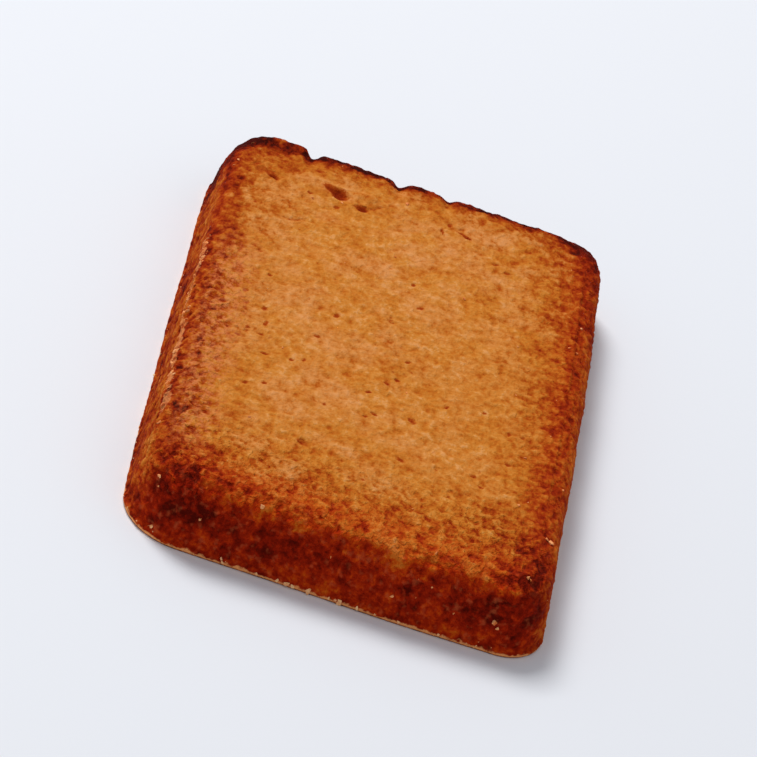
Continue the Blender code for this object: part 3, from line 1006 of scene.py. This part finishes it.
def crust_material():
    """Baked crust: dry, dull and finely open, golden on top and dark brown at its edges."""
    look = Shading("baked_crust")
    coarse = look.attribute("coarse")
    contrast = look.attribute("contrast")
    ruddy = look.attribute("ruddy")
    bent = look.drawn_out(look.warped(*GRAIN_WARP), DRAWN_OUT)
    long_place = look.drawn_out(look.place, DRAWN_OUT)

    # Tone: grain crests painted paler and its hollows darker as painted highlight and shade, two
    #     # speckles, cracks painted dark as painted shade, and the painted shade of the creases and
    #     # highlight of the crests.
    grain = look.noise(SHADED_GRAIN_SPACING, detail=2.5, roughness=0.50, place=bent)
    speckle = look.noise(SPECKLE_SPACING, detail=3.0, roughness=0.5, place=long_place)
    fine_speckle = look.noise(FINE_SPECKLE_SPACING, detail=1.0, place=long_place)
    gap = look.cells(CRACK_SPACING, bent, feature="DISTANCE_TO_EDGE")["Distance"]
    crack = look.times(look.spread(gap, 0.0, CRACK_WIDTH, 1.0, 0.0), coarse)
    tone = look.spread(grain, 0.32, 0.68, GRAIN_SHADE, -GRAIN_SHADE)
    tone = look.stirred(tone, speckle, 0.32, SPECKLE)
    tone = look.stirred(tone, fine_speckle, 0.30, FINE_SPECKLE)
    tone = look.plus(tone, look.times(crack, CRACK_SHADE))
    creased = look.spread(look.attribute("creased"), -1.0, 1.0, CREST_HIGHLIGHT, CREASE_SHADE)
    tone = look.times(look.plus(tone, creased), contrast)

    # Pores: small holes in some of the cells, painted dark as painted shade. The marked pits have
    #     # ragged edges, and don't stand out where the crust is dark.
    pores = look.cells(PORE_SPACING, look.warped(*PORE_WARP))
    pore_size = look.spread(pores["Color"], 0.50, 1.0, 0.0, PORE_WIDTH)
    pore = look.spread(look.math("SUBTRACT", pore_size, pores["Distance"]), 0.0, 0.10, 0.0, 1.0)
    pore = look.times(pore, look.spread(coarse, 0.0, 0.6, 0.5, 1.0))
    ragged = look.noise(RAGGED_PIT_SPACING, detail=3.0)
    pitted = look.stirred(look.attribute("pitted"), ragged, 0.25, RAGGED_PIT)
    pit = look.spread(pitted, 0.35, 0.60, 0.0, 1.0)
    pit = look.times(pit, look.spread(look.attribute("browning"), 0.50, 0.70, 1.0, 0.0))

    # Colour: gold with a pale bloom and, toward the back, a painted sheen, or the sides' red, partly
    #     # painted shade, then pits browned with painted shade, flecks on the sides and the dust of crumbs.
    browning = look.plus(look.attribute("browning"), tone)
    browning = look.plus(browning, look.times(pore, PORE_SHADE))
    bloom_and_sheen = look.noise(BLOOM_SPACING, detail=5.0, roughness=0.6)
    bloom_and_sheen = look.spread(bloom_and_sheen, 0.42, 0.64, 0.0, BLOOM_SHARE)
    bloom_and_sheen = look.times(bloom_and_sheen, look.attribute("bloomed_and_sheen"))
    bloom_and_sheen = look.times(bloom_and_sheen, look.spread(browning, 0.10, 0.45, 1.0, 0.0))
    golden = look.mix(bloom_and_sheen, look.ramp(browning, CRUST_COLOURS), BLOOM_AND_SHEEN)
    held = look.math("MINIMUM", browning, look.spread(browning, 0.70, 1.30, 0.70, 1.00))
    colour = look.mix(ruddy, golden, look.ramp(held, RUDDY_AND_SHADE_COLOURS))
    colour = look.mix(pit, colour, look.ramp(pitted, PIT_BROWN_AND_SHADE_COLOURS))
    fleck = look.noise(FLECK_SPACING, detail=1.5, place=long_place)
    fleck = look.spread(fleck, 0.56, 0.74, 0.0, FLECK_SHARE)
    fleck = look.times(fleck, look.spread(contrast, 1.02, 1.2, 0.0, 1.0))
    colour = look.mix(look.times(fleck, ruddy), colour, FLECK)
    dust = look.noise(DUST_SPACING, detail=4.0, roughness=0.7)
    dust = look.spread(dust, 0.44, 0.60, 0.0, DUST_SHARE)
    dust = look.times(dust, look.spread(browning, 0.45, 0.75, 1.0, 0.25))
    colour = look.mix(look.times(dust, look.attribute("dusted")), colour, DUST)

    # Rubbed patches, and the thin pale line of the foot, pale dough and a painted highlight.
    worn_edge = look.noise(WORN_SPACING, detail=4.0)
    worn = look.stirred(look.attribute("rubbed"), worn_edge, 0.3, WORN_FRAYED)
    worn = look.spread(worn, 0.75, 1.10, 0.0, WORN_SHARE)
    colour = look.mix(worn, colour, RUBBED_DOUGH)
    line_edge = look.noise(FOOT_LINE_SPACING, detail=4.0)
    line = look.stirred(look.height(), line_edge, 0.3, FOOT_LINE_FRAYED)
    line = look.spread(line, *FOOT_LINE, FOOT_LINE_SHARE, 0.0)
    colour = look.mix(look.times(line, look.attribute("foot")), colour, PALE_DOUGH_AND_HIGHLIGHT)
    look.feed(look.shader.inputs["Base Color"], colour)
    look.feed(look.shader.inputs["Roughness"], look.spread(browning, 0.1, 0.9, 0.95, 0.80))

    sand = look.noise(SAND_SPACING, detail=2.0, roughness=0.6, place=bent)
    relief = look.plus(grain, look.times(sand, SAND))
    relief = look.times(relief, look.spread(coarse, 0.0, 1.0, 0.65, 1.45))
    grit = look.bump(relief, GRIT_HEIGHT)
    cracks = look.bump(crack, CRACK_HEIGHT, Normal=grit)
    holes = look.bump(look.math("MAXIMUM", pore, pit), HOLE_HEIGHT, Normal=cracks)
    look.feed(look.shader.inputs["Normal"], holes)
    look.shader.inputs["Specular IOR Level"].default_value = 0.02
    return look.material


points, faces = plain_slab()
crust_mesh = bpy.data.meshes.new("crust")
crust_mesh.from_pydata(points, [], faces)
crust_mesh.update()
bake_crust(crust_mesh)
centre_mesh(crust_mesh)
crust_mesh.shade_smooth()
crust_mesh.materials.append(crust_material())
crust = bpy.data.objects.new("crust", crust_mesh)
bpy.context.scene.collection.objects.link(crust)
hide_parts("biscuit")
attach(crust, "root")

# ------------------------------------------------------------------------------------------
# Crumbs. Paler bits of dough that broke off where the crust was rubbed and pressed back onto
# it, mostly along the left shoulder and on the foot.
# ------------------------------------------------------------------------------------------

CRUMB_SEED = 5
CRUMB_SIZE = (0.07 * MM, 0.27 * MM)
CRUMB_CORNERS = 11
CRUMB_CORNER_REACH = (0.75, 1.0)
CRUMB_STRETCH = ((0.8, 1.7), (0.7, 1.2), (0.5, 0.9))
CRUMB_SINK = 0.45

# Crumbs in heaps along the rubbed left shoulder, from a place along it on.
SHOULDER_CRUMBS = 120
HEAP_SPACING = 2.4 * MM
HEAP_LEVEL = -0.05
HEAP_RUBBED = 0.55
HEAPS_FROM = -21.0 * MM
# Crumbs all round, on the foot, over the top and on the sides: the heights between which they
# lie, and how many.
CRUMB_BANDS = (
    (0.1 * MM, 0.9 * MM, 90),
    (THICKNESS - 0.7 * MM, math.inf, 40),
    (1.2 * MM, 6.0 * MM, 8),
)

# Crumbs and flakes that can be told apart: across, along, height and size in millimetres.
MARKED_CRUMBS = (
    (-9.2, -34.2, 7.4, 0.24), (6.1, -35.2, 2.7, 0.27), (16.6, -35.4, 3.5, 0.34), (17.2, -35.5, 3.0, 0.22),
    (18.6, -31.7, 7.6, 0.34), (19.0, -31.9, 7.6, 0.20), (-14.5, -34.9, 3.9, 0.16), (8.3, -35.2, 3.4, 0.15),
    (-4.2, -36.0, 0.4, 0.32), (-3.6, -36.0, 0.4, 0.26), (-2.0, -36.0, 0.4, 0.34), (1.3, -36.0, 0.3, 0.34),
    (-7.4, -36.0, 0.4, 0.20), (-5.3, -36.0, 0.5, 0.22), (0.2, -36.0, 0.4, 0.22), (3.2, -36.0, 0.4, 0.24),
    (5.1, -36.0, 0.4, 0.20), (7.6, -36.0, 0.4, 0.22), (-11.0, -35.9, 0.4, 0.18), (11.8, -35.9, 0.4, 0.18),
    (19.8, -24.0, 7.6, 0.36), (20.3, -24.1, 7.4, 0.30), (8.9, -32.8, 7.6, 0.28), (-20.6, -33.5, 6.0, 0.26),
    (9.5, -35.0, 5.0, 0.18), (-1.0, -35.0, 4.6, 0.20), (12.5, -35.2, 3.1, 0.18), (-18.6, -34.4, 0.9, 0.24),
    (-19.4, 31.7, 7.3, 0.20), (-16.4, 33.2, 7.5, 0.17), (-20.4, 27.2, 7.4, 0.20), (-20.9, 26.3, 7.3, 0.17),
    (-21.6, -2.9, 6.9, 0.38), (-21.5, -6.0, 6.8, 0.36), (-21.8, -11.5, 6.8, 0.40), (-21.9, -12.6, 6.7, 0.32),
    (-21.1, -24.9, 6.6, 0.28), (-21.6, 6.0, 6.9, 0.28), (-21.7, 1.5, 6.9, 0.28), (-21.4, -15.4, 6.7, 0.28),
    (-21.3, -21.7, 6.6, 0.24), (-21.5, -5.2, 6.8, 0.24), (-21.7, -3.6, 6.8, 0.26), (-21.7, -10.8, 6.8, 0.28),
)


def on_left_shoulder(place):
    """Whether a place lies in one of the heaps of crumbs along the rubbed left shoulder."""
    heaped = field_noise(0.0, place.y, 0.0, HEAP_SPACING) > HEAP_LEVEL
    return heaped and rubbed_share(*place) > HEAP_RUBBED and place.y > HEAPS_FROM


def crumb_seats(chance):
    """The places on the crust that crumbs cling to, each with its normal and the crumb's size."""
    faces = crust_mesh.polygons
    kinds = [([face for face in faces if on_left_shoulder(face.center)], SHOULDER_CRUMBS)]
    for low, high, count in CRUMB_BANDS:
        kinds.append(([face for face in faces if low < face.center.z < high], count))
    seats = []
    for choice, count in kinds:
        for face in chance.sample(choice, count):
            size = part_way(CRUMB_SIZE, chance.random() ** 3)
            seats.append((face.center.copy(), face.normal.copy(), size))
    for x, y, z, size in MARKED_CRUMBS:
        _, seat, normal, _ = crust.closest_point_on_mesh(Vector((x, y, z)) * MM)
        seats.append((seat, normal, size * MM))
    return seats


CRUMB_COLOURS = (
    (0.30, paint(204, 98, 44)),
    (0.50, paint(233, 144, 84)),
    (0.72, paint(250, 188, 130)),
    (0.95, paint(255, 208, 152)),
)
CRUMB_TONE_SPACING = 0.7 * MM
CRUMB_GRAIN_SPACING = 0.08 * MM
CRUMB_GRAIN_HEIGHT = 0.02 * MM
# The crumbs on the foot are paler: by how much, and between which heights that fades.
FOOT_CRUMB_PALER = 0.28
FOOT_CRUMB_FADE = (0.5 * MM, 1.5 * MM)


def crumb_material():
    """Broken dough from inside the crust: pale, dry and grainy."""
    look = Shading("pale_crumb")
    paler = look.spread(look.height(), *FOOT_CRUMB_FADE, FOOT_CRUMB_PALER, 0.0)
    tone = look.plus(look.noise(CRUMB_TONE_SPACING, detail=2.0), paler)
    grain = look.bump(look.noise(CRUMB_GRAIN_SPACING), CRUMB_GRAIN_HEIGHT)
    look.feed(look.shader.inputs["Base Color"], look.ramp(tone, CRUMB_COLOURS))
    look.feed(look.shader.inputs["Roughness"], look.spread(tone, 0.3, 0.7, 0.75, 0.9))
    look.feed(look.shader.inputs["Normal"], grain)
    look.shader.inputs["Specular IOR Level"].default_value = 0.05
    return look.material


def add_crumb(heap, chance, seat, normal, size):
    """One crumb: the hull of a few chance corners, flattened and partly sunk in the crust."""
    stretch = Vector([chance.uniform(*ends) for ends in CRUMB_STRETCH])
    upright = normal.to_track_quat("Z", "Y").to_matrix()
    spin = Matrix.Rotation(chance.uniform(0.0, math.tau), 3, "Z")
    corners = []
    for _ in range(CRUMB_CORNERS):
        way = Vector([chance.gauss(0.0, 1.0) for _ in range(3)]).normalized()
        way *= chance.uniform(*CRUMB_CORNER_REACH)
        corner = spin @ Vector([length * more for length, more in zip(way, stretch)])
        corner.z += stretch.z * (1.0 - 2.0 * CRUMB_SINK)
        point = seat + upright @ corner * size
        point.z = max(point.z, 0.0)
        corners.append(heap.verts.new(point))
    hull = bmesh.ops.convex_hull(heap, input=corners)
    inner = [item for item in hull["geom_interior"] if isinstance(item, bmesh.types.BMVert)]
    bmesh.ops.delete(heap, geom=inner, context="VERTS")


chance = random.Random(CRUMB_SEED)
heap = bmesh.new()
for seat, normal, size in crumb_seats(chance):
    add_crumb(heap, chance, seat, normal, size)
crumb_mesh = bpy.data.meshes.new("crumbs")
heap.to_mesh(crumb_mesh)
heap.free()
crumb_mesh.materials.append(crumb_material())
crumbs = bpy.data.objects.new("crumbs", crumb_mesh)
bpy.context.scene.collection.objects.link(crumbs)
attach(crumbs, "root")

# ------------------------------------------------------------------------------------------
# The studio. A plain pale floor, a large soft lamp behind and to the left, and a pale
# surround that fills the shaded front. It isn't part of the object.
# ------------------------------------------------------------------------------------------

FLOOR_SIZE = 6.0
FLOOR_GAP = 0.02 * MM
FLOOR_COLOUR = paint(231, 233, 238)
FLOOR_ROUGHNESS = 0.6
SURROUND_COLOUR = (0.94, 0.96, 1.0, 1.0)
SURROUND_STRENGTH = 0.46
LAMP_PLACE = Vector((-0.48, 0.60, 0.95))
LAMP_SIZE = 0.45
LAMP_POWER = 11.9

bpy.ops.mesh.primitive_plane_add(size=FLOOR_SIZE, location=(0.0, 0.0, -FLOOR_GAP))
floor = bpy.context.object
floor.name = "floor"
floor_material = bpy.data.materials.new("pale_floor")
floor_material.use_nodes = True
floor_shader = floor_material.node_tree.nodes["Principled BSDF"]
floor_shader.inputs["Base Color"].default_value = FLOOR_COLOUR
floor_shader.inputs["Roughness"].default_value = FLOOR_ROUGHNESS
floor.data.materials.append(floor_material)

lamp_data = bpy.data.lights.new("lamp", "AREA")
lamp_data.energy = LAMP_POWER
lamp_data.size = LAMP_SIZE
lamp = bpy.data.objects.new("lamp", lamp_data)
lamp.location = LAMP_PLACE
lamp.rotation_euler = LAMP_PLACE.to_track_quat("Z", "Y").to_euler()
bpy.context.scene.collection.objects.link(lamp)

world = bpy.data.worlds.new("surround")
world.use_nodes = True
surround = world.node_tree.nodes["Background"]
surround.inputs["Color"].default_value = SURROUND_COLOUR
surround.inputs["Strength"].default_value = SURROUND_STRENGTH
bpy.context.scene.world = world
bpy.context.scene.view_settings.view_transform = "Standard"

# The camera stands where the photograph was taken from, seen from the biscuit, and turns
# to bring it into the middle. The lens is longer than the photograph's, so that it fills the frame.
CAMERA_AZIMUTH = math.radians(-4.95)
CAMERA_ELEVATION = math.radians(32.68)
CAMERA_ROLL = math.radians(-21.24)
CAMERA_DISTANCE = 0.590
CAMERA_LENS = 268.0
CAMERA_SENSOR = 36.0
CAMERA_NEAREST = 0.01

back = Vector((
    math.sin(CAMERA_AZIMUTH) * math.cos(CAMERA_ELEVATION),
    -math.cos(CAMERA_AZIMUTH) * math.cos(CAMERA_ELEVATION),
    math.sin(CAMERA_ELEVATION),
))
level_right = Vector((0.0, 0.0, 1.0)).cross(back).normalized()
level_up = back.cross(level_right)
right = level_right * math.cos(CAMERA_ROLL) - level_up * math.sin(CAMERA_ROLL)
up = level_right * math.sin(CAMERA_ROLL) + level_up * math.cos(CAMERA_ROLL)
target = Vector((0.0, 0.0, THICKNESS / 2))
camera_data = bpy.data.cameras.new("camera")
camera_data.lens = CAMERA_LENS
camera_data.sensor_width = CAMERA_SENSOR
camera_data.clip_start = CAMERA_NEAREST
camera = bpy.data.objects.new("camera", camera_data)
turned = Matrix((right, up, back)).transposed().to_4x4()
camera.matrix_world = Matrix.Translation(target + back * CAMERA_DISTANCE) @ turned
bpy.context.scene.collection.objects.link(camera)
bpy.context.scene.camera = camera
